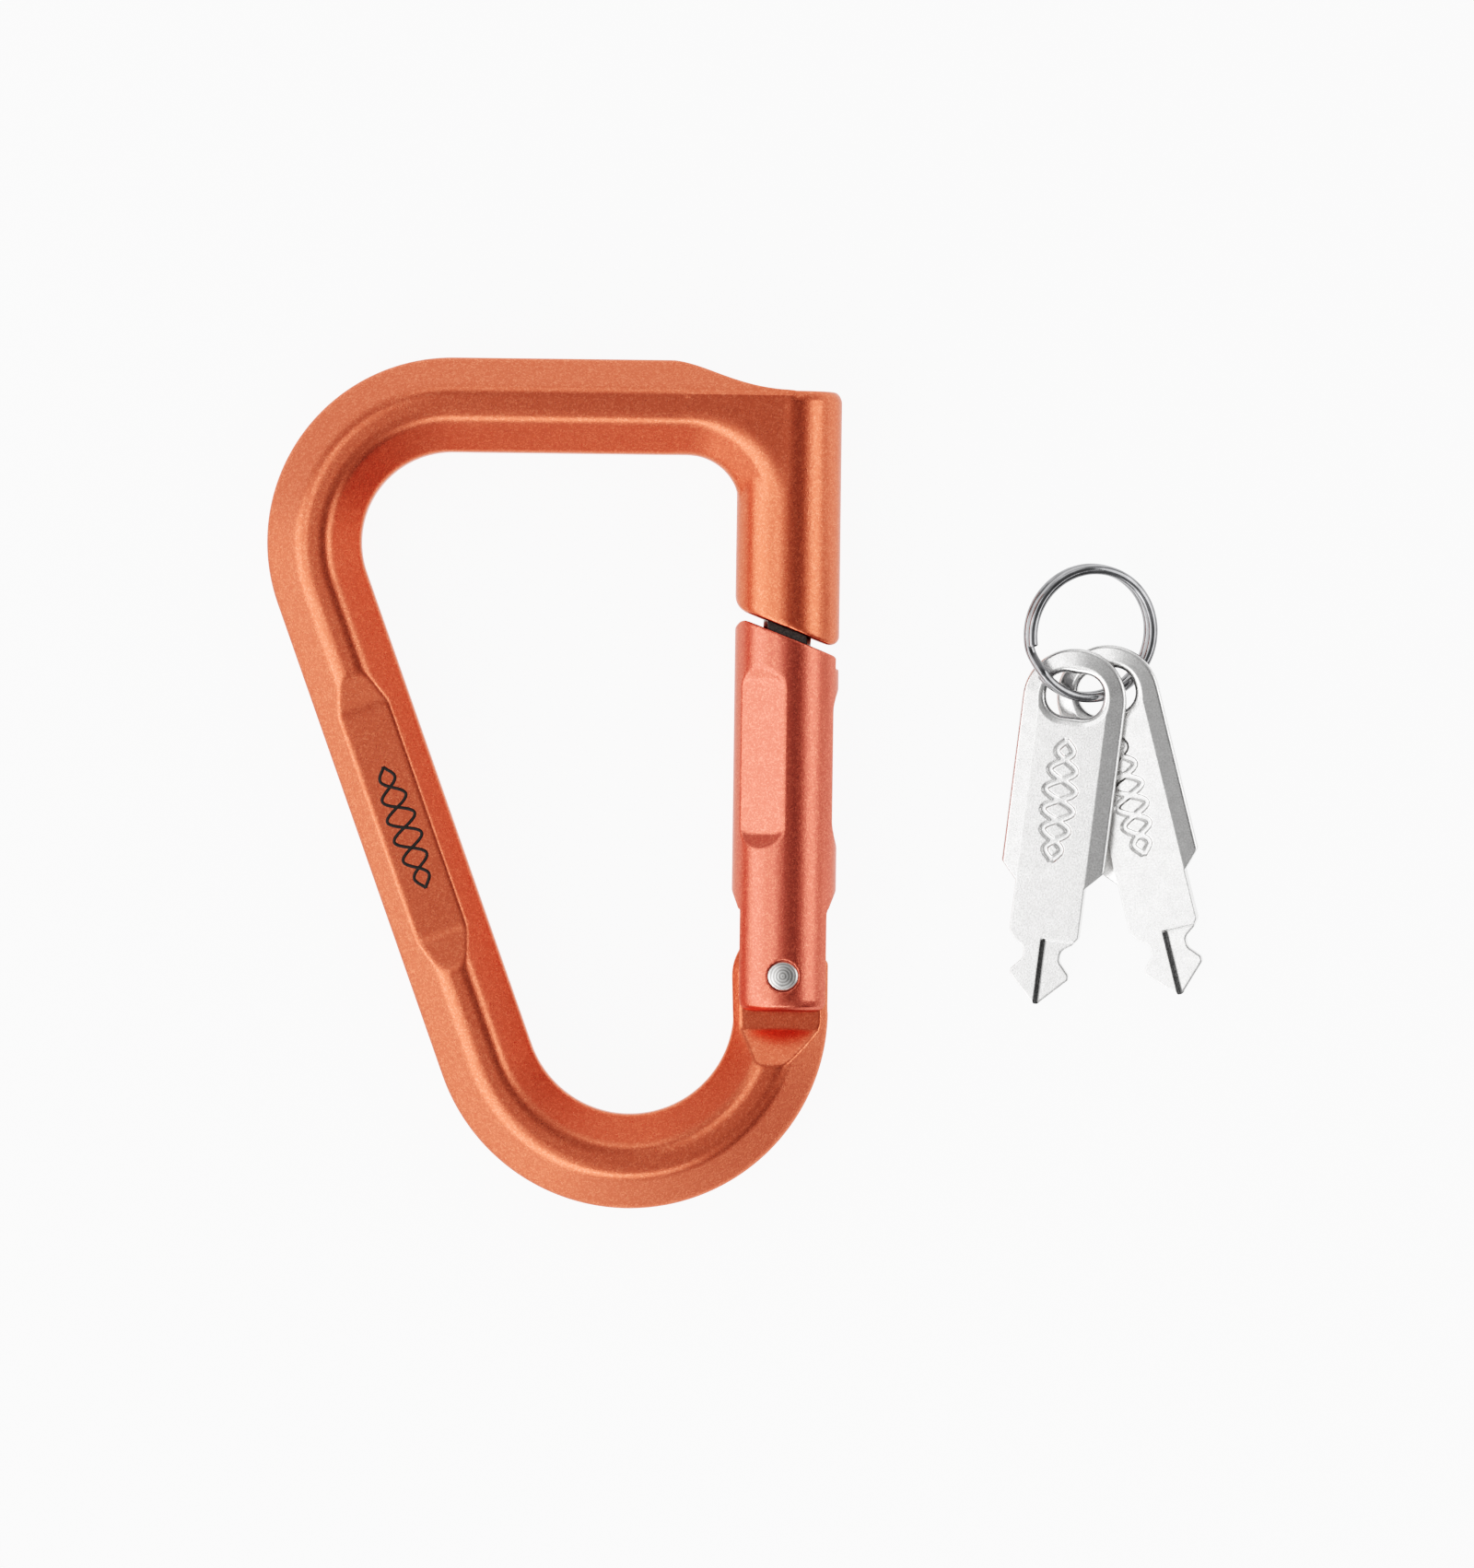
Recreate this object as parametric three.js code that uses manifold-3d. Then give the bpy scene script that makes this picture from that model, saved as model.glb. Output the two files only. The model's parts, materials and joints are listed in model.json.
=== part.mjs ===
// A locking carabiner key holder: a bevelled aluminium carabiner with a keyed
// gate lock, and a split ring with two flat keys lying beside it.
//
// Millimetres, +Z up. The parts are laid out with the gate's pivot at the
// origin of the drawing plane and the carabiner's mid-plane at z = 0, and the
// finished group is moved so that its box stands centred on the origin.

import * as THREE from 'three';
import { mergeVertices } from 'three/addons/utils/BufferGeometryUtils.js';
import Module from 'manifold-3d';

const wasm = await Module();
wasm.setup();

// ---------------------------------------------------------------- dimensions

// Carabiner bar: an octagonal section with broad 45 degree bevels.
const THICKNESS = 12;
const HALF = THICKNESS / 2;
const BAR_HALF_WIDTH = 5.43;
const BEVEL = 3.9;
const BAR_STEPS = 76;

// Cutting tools reach this far from the mid-plane or an axis, past every face.
const PAST = 9;

// Centre line of the bar. Angles are in degrees from +X.
const BOTTOM_BEND = { x: -17.57, y: -4.18, r: 17.4 };
const TOP_BEND = { x: -38.73, y: 49.4, r: 15.84 };
const CORNER_BEND = { x: -11.81, y: 53.9, r: 11.36 };
const SPINE_NORMAL = 200.1;

// Lock barrel, along +Y through the pivot's x.
const BARREL_R = 6;
const BARREL_TOP = 67.3;
const BARREL_CHAMFER = 0.9;
const SPLIT_SLOPE = -0.387;
const BARREL_FACE_Y = 39.96;
const GATE_FACE_Y = 38.97;
const BORE_R = 4.75;
const BORE_FLOOR = 49.5;
const NOSE_HOLE_R = 3.05;
const GROOVE = { r: 5.15, low: 66.15, high: 67.0 };

// The S-shaped step from the top bar down to the barrel, as a curve's control points.
const STEP = { start: [-13, 70.78], leave: [-9.5, 70.7], arrive: [-6.5, 67.45] };

// How the slanted split's ends are eased: [x, distance from the split] pairs.
const BARREL_EASE = [[6.6, 1.6], [5.95, 1.2], [5.0, 0], [-5.0, 0], [-5.7, 0.9], [-6.05, 2.6]];
const GATE_EASE = [[-6.2, -1.5], [-5.3, 0], [5.2, 0], [6.2, -1.2]];

// Shallow pad on both sides of the spine, measured along the spine.
const PAD = { start: 11.2, flatStart: 15.5, flatEnd: 42.8, end: 47.0, depth: 1.45 };

// Hinge tang on the bar's free end, and the spring cam on its tip.
const TANG_HALF = 3.0;
const TANG_LEFT = 5.84;
const TANG_RIGHT = 5.2;
const TANG_SHOULDER = 1.5;
const TANG_CORNERS = [[3.6, 3.5], [1.8, 4.5]];
const TANG_ROOT = -5.5;
const TANG_EDGE = 0.9;
const TANG_FLAT_END = -6.0;
const TANG_RAMP_END = -9.6;
const CAM_BASE = 4.9;
const CAM_RISE = 1.63;
const CAM_SWEEP = 33;
const CAM_PARTS = 6;
const TANG_BACK = [138, 152, 166, 180];

// Gate.
const GATE_R = 6;
const GATE_END = -4.1;
const GATE_CHAMFER = 0.8;
const EAR_LEFT = 5.05;
const EAR_RIGHT = 4.95;
const EAR_SHOULDER = { low: 6.5, high: 10 };
const FORK_HALF = 3.2;
const FORK_TOP = 7.6;
const SPRING_BORE = { r: 2.35, top: 20 };
const OUTER_FLAT = { distance: 5.45, low: [15, 17], high: [31.3, 33] };
const FACE_FLAT = { distance: 5.25, low: [14.8, 16.4], high: [35.2, 35.9] };
const POCKET_FLOOR = 35.4;
const NOSE_SLOT_HALF = 1.75;

// Pivot rivet.
const RIVET_R = 1.75;
const RIVET_HOLE_R = 1.93;
const RIVET_END = 5.5;
const RIVET_DOME = 0.45;

// Gate spring and plunger.
const PLUNGER_R = 2.1;
const PLUNGER_TIP = 5.15;
const PLUNGER_PIN = { r: 0.95, length: 2.6, base: 0.3 };
const SPRING = { r: 1.6, wire: 0.28, low: 13.0, high: 19.6, turns: 5 };

// Lock stack inside the barrel.
const STACK_R = 4.55;
const BOLT = { low: 36.0, flange: 49.8, top: 58.4, slotFloor: 52.9 };
const NOSE = { r: 2.75, half: 1.5, flatEnd: 45 };
const WARD = { low: 58.65, high: 59.55, hole: 2.4 };
const PLUG = { low: 59.8, floor: 61.5, top: 65.9, chamfer: 0.4 };
const KEYWAY_HALF = 1.25;
const TIP_PASS = 3.6;
const SNAP_RING = { low: 66.3, high: 66.85, outer: 4.95, inner: 4.3, gap: 32 };
const STOP_PIN = { r: 0.5, orbit: 3.9, low: 47.5, high: 50.9, seat: 0.64 };
const STOP_GROOVE = { inner: 3.2, depth: 1.5, from: -12, to: 102 };
const DETENT = { y: 51.4, hole: 0.85, floor: 1.5, ball: 0.7, ballAt: 3.95, dimple: 0.95 };
const DETENT_SPRING = { r: 0.45, wire: 0.12, low: 1.75, high: 3.05, turns: 4 };

// Split ring: two coils of wire, with a step where one passes to the other.
const RING = { r: 7.45, wire: 0.56, pitch: 1.24, steps: 84, rise: 13, end: 16 };

// Flat key, drawn with its tip at the origin and its head along +Y.
const KEY = {
  thickness: 1.7,
  tipHalf: 3.35,
  tipEnd: 3.6,
  tipFlat: 0.4,
  neckHalf: 2.1,
  neck: [5.4, 6.4],
  bladeHalf: 4.05,
  bladeStart: 8.3,
  bladeEnd: 14.1,
  headHalf: 6.05,
  headStart: 16.2,
  headCentre: 35.5,
  edge: 0.25,
  bevel: 2.05,
  bevelDepth: 0.33,
};
const KEY_STEP = { length: 7.75, depth: 0.72, offset: 0.1 };
const KEY_SLOT = { y: 36.15, halfX: 3.35, halfY: 2.55, r: 2.3, flare: 0.95, flareDepth: 0.6 };

// Where the loose set lies.
const RING_PLACE = { x: 35.02, y: 39.95, z: -1.54, tilt: 21.6, toward: 69.1, spin: 206 };
const KEY_PLACES = [
  { x: 29.28, y: -3.08, z: -4.48, heading: -6.45, roll: 8.87, pitch: 4.01 },
  { x: 46.11, y: -1.74, z: -4.32, heading: 14.54, roll: 12.2, pitch: 2.04 },
];

// ------------------------------------------------------------------ materials

function finish(colour, roughness, metalness) {
  return new THREE.MeshStandardMaterial({ color: colour, roughness, metalness });
}

const orange = finish(0xc4643c, 0.42, 0.9);
const orangeGate = finish(0xc96a55, 0.4, 0.9);
const turnedSteel = finish(0xb9b9bb, 0.3, 1);
const darkSteel = finish(0x4a4745, 0.45, 0.9);
const springSteel = finish(0x8d8f92, 0.35, 1);
const brass = finish(0xb89a55, 0.35, 1);
const nickel = finish(0xd9d9dc, 0.12, 1);
const keyMetal = finish(0xcfcfcf, 0.45, 0.9);

// -------------------------------------------------------------------- helpers

const AXIS = {
  x: new THREE.Vector3(1, 0, 0),
  y: new THREE.Vector3(0, 1, 0),
  z: new THREE.Vector3(0, 0, 1),
};

function radians(degrees) {
  return THREE.MathUtils.degToRad(degrees);
}

function solid(geometry) {
  const bare = geometry.clone();
  bare.deleteAttribute('normal');
  bare.deleteAttribute('uv');
  const merged = mergeVertices(bare, 1e-4);
  return new wasm.Manifold(new wasm.Mesh({
    numProp: 3,
    vertProperties: new Float32Array(merged.attributes.position.array),
    triVerts: new Uint32Array(merged.index.array),
  }));
}

function geometryOf(body) {
  const mesh = body.getMesh();
  const geometry = new THREE.BufferGeometry();
  geometry.setAttribute('position', new THREE.BufferAttribute(mesh.vertProperties, 3));
  geometry.setIndex(new THREE.BufferAttribute(mesh.triVerts, 1));
  return geometry;
}

function part(name, shape, material) {
  const geometry = shape.isBufferGeometry ? shape : geometryOf(shape);
  const mesh = new THREE.Mesh(geometry, material);
  mesh.name = name;
  return mesh;
}

function polar(r, degrees) {
  return [r * Math.cos(radians(degrees)), r * Math.sin(radians(degrees))];
}

function outline(points) {
  return new THREE.Shape(points.map(([x, y]) => new THREE.Vector2(x, y)));
}

function box(lowX, highX, lowY, highY, lowZ, highZ) {
  const geometry = new THREE.BoxGeometry(highX - lowX, highY - lowY, highZ - lowZ);
  geometry.translate((lowX + highX) / 2, (lowY + highY) / 2, (lowZ + highZ) / 2);
  return geometry;
}

// A turned shape about the Y axis, from [radius, y] pairs.
function turned(profile, sides) {
  return new THREE.LatheGeometry(profile.map(([r, y]) => new THREE.Vector2(r, y)), sides);
}

function rod(r, low, high, sides = 24) {
  return turned([[0, low], [r, low], [r, high], [0, high]], sides);
}

function rodAlongZ(r, low, high, sides = 24) {
  return rod(r, low, high, sides).rotateX(Math.PI / 2);
}

// A flat shape in the XY plane, pulled through z from low to high.
function slab(shape, low, high) {
  const geometry = new THREE.ExtrudeGeometry(shape, {
    depth: high - low,
    bevelEnabled: false,
    curveSegments: 10,
  });
  return geometry.translate(0, 0, low);
}

// A slab with its outline drawn in at both faces.
function bevelledSlab(shape, half, size, depth) {
  const geometry = new THREE.ExtrudeGeometry(shape, {
    depth: 2 * (half - depth),
    bevelEnabled: true,
    bevelThickness: depth,
    bevelSize: size,
    bevelOffset: -size,
    bevelSegments: 1,
    curveSegments: 10,
  });
  return geometry.translate(0, 0, depth - half);
}

class ArcPath extends THREE.Curve {
  constructor(bend, from, to) {
    super();
    this.bend = bend;
    this.from = radians(from);
    this.to = radians(to);
  }

  getPoint(t, target = new THREE.Vector3()) {
    const angle = this.from + (this.to - this.from) * t;
    const { x, y, r } = this.bend;
    return target.set(x + r * Math.cos(angle), y + r * Math.sin(angle), 0);
  }
}

class HelixPath extends THREE.Curve {
  constructor(r, low, high, turns) {
    super();
    Object.assign(this, { r, low, high, turns });
  }

  getPoint(t, target = new THREE.Vector3()) {
    const angle = 2 * Math.PI * this.turns * t;
    const y = this.low + (this.high - this.low) * t;
    return target.set(this.r * Math.cos(angle), y, this.r * Math.sin(angle));
  }
}

function coil({ r, wire, low, high, turns }, stepsPerTurn) {
  const path = new HelixPath(r, low + wire, high - wire, turns);
  return tube(path, wire, turns * stepsPerTurn, 6);
}

function tube(path, r, steps, sides) {
  const corners = [];
  for (let i = 0; i < sides; i += 1) {
    const angle = (2 * Math.PI * i) / sides;
    corners.push([r * Math.cos(angle), r * Math.sin(angle)]);
  }
  return new THREE.ExtrudeGeometry(outline(corners), { steps, extrudePath: path });
}

// ----------------------------------------------------------------- carabiner

function barPath() {
  const bottom = new ArcPath(BOTTOM_BEND, 0, SPINE_NORMAL - 360);
  const top = new ArcPath(TOP_BEND, SPINE_NORMAL, 90);
  const corner = new ArcPath(CORNER_BEND, 90, 0);
  const path = new THREE.CurvePath();
  path.add(bottom);
  path.add(new THREE.LineCurve3(bottom.getPoint(1), top.getPoint(0)));
  path.add(top);
  path.add(new THREE.LineCurve3(top.getPoint(1), corner.getPoint(0)));
  path.add(corner);
  return path;
}

function bar() {
  const ridge = BAR_HALF_WIDTH - BEVEL;
  const wall = HALF - BEVEL;
  const section = outline([
    [-HALF, -ridge],
    [-wall, -BAR_HALF_WIDTH],
    [wall, -BAR_HALF_WIDTH],
    [HALF, -ridge],
    [HALF, ridge],
    [wall, BAR_HALF_WIDTH],
    [-wall, BAR_HALF_WIDTH],
    [-HALF, ridge],
  ]);
  return new THREE.ExtrudeGeometry(section, { steps: BAR_STEPS, extrudePath: barPath() });
}

function barrel() {
  return turned([
    [0, BARREL_FACE_Y - BARREL_R],
    [BARREL_R, BARREL_FACE_Y - BARREL_R],
    [BARREL_R, BARREL_TOP - BARREL_CHAMFER],
    [BARREL_R - BARREL_CHAMFER, BARREL_TOP],
    [0, BARREL_TOP],
  ], 32);
}

function tang() {
  const points = [
    [-TANG_LEFT, TANG_ROOT],
    [TANG_RIGHT, TANG_ROOT],
    [TANG_RIGHT, TANG_SHOULDER],
    ...TANG_CORNERS,
  ];
  for (let i = 0; i <= CAM_PARTS; i += 1) {
    const swept = (CAM_SWEEP * i) / CAM_PARTS;
    points.push(polar(CAM_BASE + CAM_RISE * radians(swept), 90 + swept));
  }
  for (const degrees of TANG_BACK) {
    points.push(polar(TANG_LEFT, degrees));
  }
  return bevelledSlab(outline(points), TANG_HALF, TANG_EDGE, TANG_EDGE);
}

// Removes what lies above the S-shaped step from the top bar down to the barrel.
function topStep() {
  const level = BARREL_TOP + 0.1;
  const above = BARREL_TOP + HALF;
  const shape = new THREE.Shape();
  shape.moveTo(...STEP.start);
  shape.bezierCurveTo(...STEP.leave, ...STEP.arrive, 0, level);
  shape.lineTo(PAST, level);
  shape.lineTo(PAST, above);
  shape.lineTo(STEP.start[0], above);
  return slab(shape, -PAST, PAST);
}

// One side of the slanted split, from its eased edge out to the level farY.
function splitSide(faceY, ease, farY) {
  const edge = ease.map(([x, away]) => [x, faceY + SPLIT_SLOPE * x + away]);
  const first = edge[0];
  const last = edge[edge.length - 1];
  return slab(outline([
    [Math.sign(last[0]) * PAST, farY],
    [Math.sign(first[0]) * PAST, farY],
    [Math.sign(first[0]) * PAST, first[1]],
    ...edge,
    [Math.sign(last[0]) * PAST, last[1]],
  ]), -PAST, PAST);
}

function spinePad(side) {
  const floor = HALF - PAD.depth;
  const shape = outline([
    [PAD.start, HALF],
    [PAD.flatStart, floor],
    [PAD.flatEnd, floor],
    [PAD.end, HALF],
    [PAD.end, PAST],
    [PAD.start, PAST],
  ]);
  const spine = barPath().curves[1];
  const along = spine.getTangent(0);
  const up = AXIS.z.clone().multiplyScalar(side);
  const across = new THREE.Vector3().crossVectors(along, up);
  const place = new THREE.Matrix4().makeBasis(along, up, across).setPosition(spine.v1);
  return slab(shape, -PAST, PAST).applyMatrix4(place);
}

// Takes the bar's free end down to the tang's thickness, on one face.
function tangRecess(side) {
  const profile = outline([
    [TANG_RAMP_END, HALF],
    [TANG_FLAT_END, TANG_HALF],
    [THICKNESS, TANG_HALF],
    [THICKNESS, PAST],
    [TANG_RAMP_END, PAST],
  ].map(([y, z]) => [y, z * side]));
  const place = new THREE.Matrix4().makeBasis(AXIS.y, AXIS.z, AXIS.x);
  return slab(profile, -PAST, PAST).applyMatrix4(place);
}

function frameBody() {
  let body = solid(bar()).add(solid(barrel())).subtract(solid(topStep()));
  body = body.subtract(solid(splitSide(BARREL_FACE_Y, BARREL_EASE, THICKNESS)));
  for (const side of [1, -1]) {
    body = body.subtract(solid(tangRecess(side)));
  }
  body = body.add(solid(tang()));
  for (const side of [1, -1]) {
    body = body.subtract(solid(spinePad(side)));
  }
  body = body.subtract(solid(rod(BORE_R, BORE_FLOOR, BARREL_TOP + 1, 32)));
  body = body.subtract(solid(rod(NOSE_HOLE_R, POCKET_FLOOR, BORE_FLOOR + 1, 24)));
  body = body.subtract(solid(rod(GROOVE.r, GROOVE.low, GROOVE.high, 32)));
  body = body.subtract(solid(rodAlongZ(RIVET_HOLE_R, -PAST, PAST)));
  const seat = rod(STOP_PIN.seat, STOP_PIN.low - 0.2, BORE_FLOOR + 1, 10);
  body = body.subtract(solid(seat.translate(STOP_PIN.orbit, 0, 0)));
  for (const degrees of [0, 90]) {
    const dimple = new THREE.SphereGeometry(DETENT.dimple, 12, 8);
    dimple.translate(0, DETENT.y, DETENT.ballAt).rotateY(radians(degrees));
    body = body.subtract(solid(dimple));
  }
  return body;
}

// ----------------------------------------------------------------------- gate

function flatCut({ distance, low, high }, degrees) {
  const run = GATE_R + 0.4 - distance;
  const slopeLow = (low[1] - low[0]) / (GATE_R - distance);
  const slopeHigh = (high[1] - high[0]) / (GATE_R - distance);
  const shape = outline([
    [distance, low[1]],
    [distance + run, low[1] - slopeLow * run],
    [distance + run, high[0] + slopeHigh * run],
    [distance, high[0]],
  ]);
  return slab(shape, -HALF, HALF).rotateY(radians(degrees));
}

// Narrows the fork's two ears on one side.
function earCut(side, ear) {
  const points = [
    [ear, -PAST],
    [ear, EAR_SHOULDER.low],
    [GATE_R + 0.2, EAR_SHOULDER.high],
    [PAST, EAR_SHOULDER.high],
    [PAST, -PAST],
  ];
  return slab(outline(points.map(([x, y]) => [x * side, y])), -PAST, PAST);
}

function gateBody() {
  let body = solid(turned([
    [0, GATE_END],
    [GATE_R - GATE_CHAMFER, GATE_END],
    [GATE_R, GATE_END + GATE_CHAMFER],
    [GATE_R, GATE_FACE_Y + GATE_R],
    [0, GATE_FACE_Y + GATE_R],
  ], 32));
  body = body.subtract(solid(splitSide(GATE_FACE_Y, GATE_EASE, BORE_FLOOR)));
  body = body.subtract(solid(earCut(1, EAR_RIGHT))).subtract(solid(earCut(-1, EAR_LEFT)));
  body = body.subtract(solid(box(-PAST, PAST, -PAST, FORK_TOP, -FORK_HALF, FORK_HALF)));
  body = body.subtract(solid(rod(SPRING_BORE.r, FORK_TOP - 1, SPRING_BORE.top, 20)));
  body = body.subtract(solid(rodAlongZ(RIVET_HOLE_R, -PAST, PAST)));
  body = body.subtract(solid(flatCut(OUTER_FLAT, 0)));
  for (const degrees of [120, -120]) {
    body = body.subtract(solid(flatCut(FACE_FLAT, degrees)));
  }
  body = body.subtract(solid(rod(NOSE_HOLE_R, POCKET_FLOOR, BORE_FLOOR)));
  const slot = box(0, PAST, POCKET_FLOOR, BORE_FLOOR, -NOSE_SLOT_HALF, NOSE_SLOT_HALF);
  return body.subtract(solid(slot));
}

function gateRivet() {
  const half = [
    [RIVET_R, RIVET_END],
    [RIVET_R * 0.6, RIVET_END + RIVET_DOME * 0.75],
    [0, RIVET_END + RIVET_DOME],
  ];
  const other = half.map(([r, y]) => [r, -y]).reverse();
  return turned([...other, ...half], 20).rotateX(Math.PI / 2);
}

function gatePlunger() {
  const base = SPRING.low - PLUNGER_PIN.base;
  const top = SPRING.low + PLUNGER_PIN.length;
  return turned([
    [0, PLUNGER_TIP],
    [1.0, PLUNGER_TIP + 0.25],
    [PLUNGER_R, PLUNGER_TIP + 1.4],
    [PLUNGER_R, base],
    [PLUNGER_PIN.r, base],
    [PLUNGER_PIN.r, top],
    [0, top],
  ], 16);
}

// ----------------------------------------------------------------- lock stack

// The slot that the key's wide tip passes through.
function tipWay(low, high) {
  return box(-TIP_PASS, TIP_PASS, low, high, -KEYWAY_HALF, KEYWAY_HALF);
}

function lockBolt() {
  let body = solid(rod(STACK_R, BOLT.flange, BOLT.top, 28));
  let nose = solid(rod(NOSE.r, BOLT.low, BOLT.flange + 1, 24));
  for (const [low, high] of [[NOSE.half, PAST], [-PAST, -NOSE.half]]) {
    nose = nose.subtract(solid(box(-PAST, PAST, BOLT.low - 1, NOSE.flatEnd, low, high)));
  }
  body = body.add(nose).subtract(solid(tipWay(BOLT.slotFloor, BOLT.top + 1)));
  const groove = new THREE.Shape();
  const from = radians(STOP_GROOVE.from);
  const to = radians(STOP_GROOVE.to);
  groove.absarc(0, 0, STACK_R + 1, from, to, false);
  groove.absarc(0, 0, STOP_GROOVE.inner, to, from, true);
  const cut = slab(groove, BOLT.flange - 1, BOLT.flange + STOP_GROOVE.depth);
  body = body.subtract(solid(cut.rotateX(-Math.PI / 2)));
  const hole = rodAlongZ(DETENT.hole, DETENT.floor, STACK_R + 1, 14).translate(0, DETENT.y, 0);
  return body.subtract(solid(hole));
}

function detentBall() {
  return new THREE.SphereGeometry(DETENT.ball, 14, 9).translate(0, DETENT.y, DETENT.ballAt);
}

function detentSpring() {
  return coil(DETENT_SPRING, 8).rotateX(Math.PI / 2).translate(0, DETENT.y, 0);
}

function stopPin() {
  return rod(STOP_PIN.r, STOP_PIN.low, STOP_PIN.high, 12).translate(STOP_PIN.orbit, 0, 0);
}

function wardPlate() {
  let body = solid(rod(STACK_R, WARD.low, WARD.high, 28));
  body = body.subtract(solid(rod(WARD.hole, WARD.low - 1, WARD.high + 1, 20)));
  for (const turn of [0, Math.PI / 2]) {
    body = body.subtract(solid(tipWay(WARD.low - 1, WARD.high + 1).rotateY(turn)));
  }
  return body;
}

function keyPlug() {
  let body = solid(turned([
    [0, PLUG.low],
    [STACK_R, PLUG.low],
    [STACK_R, PLUG.top - PLUG.chamfer],
    [STACK_R - PLUG.chamfer, PLUG.top],
    [0, PLUG.top],
  ], 28));
  const keyway = box(-PAST, PAST, PLUG.floor, PLUG.top + 1, -KEYWAY_HALF, KEYWAY_HALF);
  return body.subtract(solid(keyway)).subtract(solid(tipWay(PLUG.low - 1, PLUG.top + 1)));
}

function snapRing() {
  const shape = new THREE.Shape();
  const open = radians(SNAP_RING.gap / 2);
  shape.absarc(0, 0, SNAP_RING.outer, open, 2 * Math.PI - open, false);
  shape.absarc(0, 0, SNAP_RING.inner, 2 * Math.PI - open, open, true);
  return slab(shape, -SNAP_RING.high, -SNAP_RING.low).rotateX(Math.PI / 2);
}

// ------------------------------------------------------------- ring and keys

class SplitRingPath extends THREE.Curve {
  getPoint(t, target = new THREE.Vector3()) {
    const degrees = RING.end + (720 - 2 * RING.end) * t;
    const risen = THREE.MathUtils.smoothstep(degrees, 360 - RING.rise, 360 + RING.rise);
    return target.set(...polar(RING.r, degrees), RING.pitch * (risen - 0.5));
  }
}

function splitRing() {
  return tube(new SplitRingPath(), RING.wire, RING.steps, 8);
}

function keyBlade() {
  const k = KEY;
  const half = [
    [k.tipFlat, 0],
    [k.tipHalf, k.tipEnd - k.tipFlat],
    [k.tipHalf, k.tipEnd + k.tipFlat],
    [k.neckHalf, k.neck[0]],
    [k.neckHalf, k.neck[1]],
    [k.tipHalf, k.bladeStart - 1],
    [k.bladeHalf, k.bladeStart],
    [k.bladeHalf, k.headStart + 4],
  ];
  const left = half.map(([u, v]) => [-u, v]).reverse();
  return bevelledSlab(outline([...half, ...left]), k.thickness / 2, k.edge, k.edge);
}

function keyHead() {
  const k = KEY;
  const shape = new THREE.Shape();
  shape.moveTo(-k.bladeHalf, k.bladeEnd);
  shape.lineTo(k.bladeHalf, k.bladeEnd);
  shape.lineTo(k.headHalf, k.headStart);
  shape.lineTo(k.headHalf, k.headCentre);
  shape.absarc(0, k.headCentre, k.headHalf, 0, Math.PI, false);
  shape.lineTo(-k.headHalf, k.headStart);
  return bevelledSlab(shape, k.thickness / 2, k.bevel, k.bevelDepth);
}

function slotOutline() {
  const { y, halfX, halfY, r } = KEY_SLOT;
  const shape = new THREE.Shape();
  const corners = [[1, 1, 0], [-1, 1, 90], [-1, -1, 180], [1, -1, 270]];
  for (const [sx, sy, from] of corners) {
    const x = sx * (halfX - r);
    shape.absarc(x, y + sy * (halfY - r), r, radians(from), radians(from + 90), false);
  }
  return shape;
}

// The slot widens towards one face, so that the ring can lie at a slant.
function slotFlare() {
  const geometry = new THREE.ExtrudeGeometry(slotOutline(), {
    depth: 1,
    bevelEnabled: true,
    bevelThickness: KEY_SLOT.flareDepth,
    bevelSize: KEY_SLOT.flare,
    bevelSegments: 1,
    curveSegments: 5,
  });
  return geometry.translate(0, 0, KEY.thickness / 2);
}

function keyBody() {
  let body = solid(keyBlade()).add(solid(keyHead()));
  body = body.subtract(solid(slab(slotOutline(), -KEY.thickness, KEY.thickness)));
  body = body.subtract(solid(slotFlare()));
  body = body.subtract(solid(slotFlare().rotateY(Math.PI)));
  const face = KEY.thickness / 2;
  const floor = face - KEY_STEP.depth;
  const right = box(KEY_STEP.offset, PAST, -1, KEY_STEP.length, floor, face + 1);
  const left = box(-PAST, -KEY_STEP.offset, -1, KEY_STEP.length, -face - 1, -floor);
  return body.subtract(solid(right)).subtract(solid(left));
}

function placeKey(key, { x, y, z, heading, roll, pitch }) {
  key.rotation.order = 'ZXY';
  key.rotation.set(radians(pitch), radians(-roll), radians(heading));
  key.position.set(x, y, z);
  return key;
}

function placeRing(ring, { x, y, z, tilt, toward, spin }) {
  const axis = new THREE.Vector3(Math.cos(radians(toward)), Math.sin(radians(toward)), 0);
  const spun = new THREE.Quaternion().setFromAxisAngle(AXIS.z, radians(spin));
  ring.quaternion.setFromAxisAngle(axis, radians(tilt)).multiply(spun);
  ring.position.set(x, y, z);
  return ring;
}

// ------------------------------------------------------------------- assembly

const layout = new THREE.Group();
layout.add(
  part('frame', frameBody(), orange),
  part('gate', gateBody(), orangeGate),
  part('gate_rivet', gateRivet(), turnedSteel),
  part('gate_plunger', gatePlunger(), brass),
  part('gate_spring', coil(SPRING, 10), springSteel),
  part('lock_bolt', lockBolt(), darkSteel),
  part('detent_ball', detentBall(), turnedSteel),
  part('detent_spring', detentSpring(), springSteel),
  part('stop_pin', stopPin(), turnedSteel),
  part('ward_plate', wardPlate(), brass),
  part('key_plug', keyPlug(), darkSteel),
  part('plug_snap_ring', snapRing(), springSteel),
  placeRing(part('split_ring', splitRing(), nickel), RING_PLACE),
);
KEY_PLACES.forEach((place, i) => {
  layout.add(placeKey(part(`key_${i + 1}`, keyBody(), keyMetal), place));
});

// The origin is the centre of the underside of the whole set's box.
const extent = new THREE.Box3().setFromObject(layout, true);
const centre = extent.getCenter(new THREE.Vector3());
layout.position.set(-centre.x, -centre.y, -extent.min.z);

const carabiner = new THREE.Group();
carabiner.add(layout);

export default carabiner;
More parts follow.
